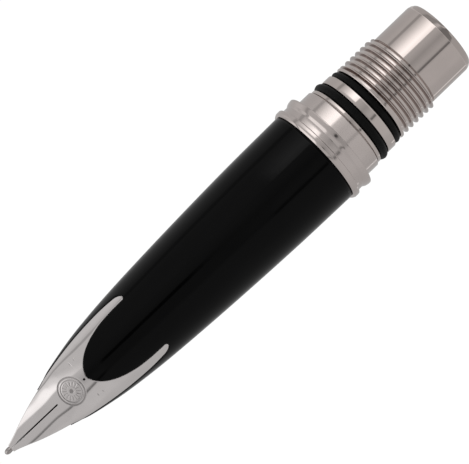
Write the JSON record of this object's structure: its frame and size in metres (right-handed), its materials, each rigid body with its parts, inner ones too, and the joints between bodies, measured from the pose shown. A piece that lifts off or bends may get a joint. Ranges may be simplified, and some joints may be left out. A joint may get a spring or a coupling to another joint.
{
  "type": "fountain pen front section",
  "caption": "Front section of a fountain pen: tapered grip with an inlaid split nib, finned ink feed, trim collar, seal rings and a threaded cartridge connector.",
  "frame": {"origin": "on the pen's axis, in the plane of the collar's rear stop face, which the barrel's mouth closes against", "axes": "+X along the pen's axis towards the barrel, the nib's tip at -X, +Z the side that the nib's upper face looks to"},
  "size_m": [0.0652, 0.0122, 0.0122],
  "materials": {
    "thread_nickel": "bright nickel plate on turned brass, fine turning marks",
    "o_ring_rubber": "black nitrile rubber, satin",
    "sleeve_steel": "bright nickel plate, smooth",
    "collar_nickel": "polished nickel plate",
    "black_lacquer": "black lacquer, mirror gloss",
    "bush_brass": "turned brass",
    "nib_rhodium": "rhodium-plated gold sheet, polished",
    "tip_iridium": "ground hard alloy, satin",
    "feed_black": "moulded ink-wetted plastic",
    "bar_black": "moulded plastic",
    "carrier_black": "moulded plastic",
    "nipple_plastic": "grey moulded plastic",
    "seal_rubber": "black rubber washer"
  },
  "bodies": {
    "connector": {"threaded_connector": "thread_nickel", "front_o_ring": "o_ring_rubber", "rear_o_ring": "o_ring_rubber", "cartridge_sleeve": "sleeve_steel"},
    "collar": {"clutch_collar": "collar_nickel"},
    "grip": {"grip_shell": "black_lacquer", "thread_bush": "bush_brass", "nib": "nib_rhodium", "nib_tip_left": "tip_iridium", "nib_tip_right": "tip_iridium", "collector": "feed_black", "feed_bar": "bar_black", "nipple_carrier": "carrier_black", "ink_nipple": "nipple_plastic", "carrier_seal": "seal_rubber"}
  },
  "joints": [
    {"name": "grip_unscrew", "type": "hinge", "parent": "connector", "child": "collar", "pos_m": [0, 0, 0], "axis": [-1, 0, 0], "range_deg": [0, 2160]},
    {"name": "grip_advance", "type": "slide", "parent": "collar", "child": "grip", "axis": [-1, 0, 0], "range_m": [0, 0.0045]}
  ],
  "couplings": [
    {"joint": "grip_unscrew", "follows": "grip_advance", "rad_per_m": 8377.6}
  ]
}
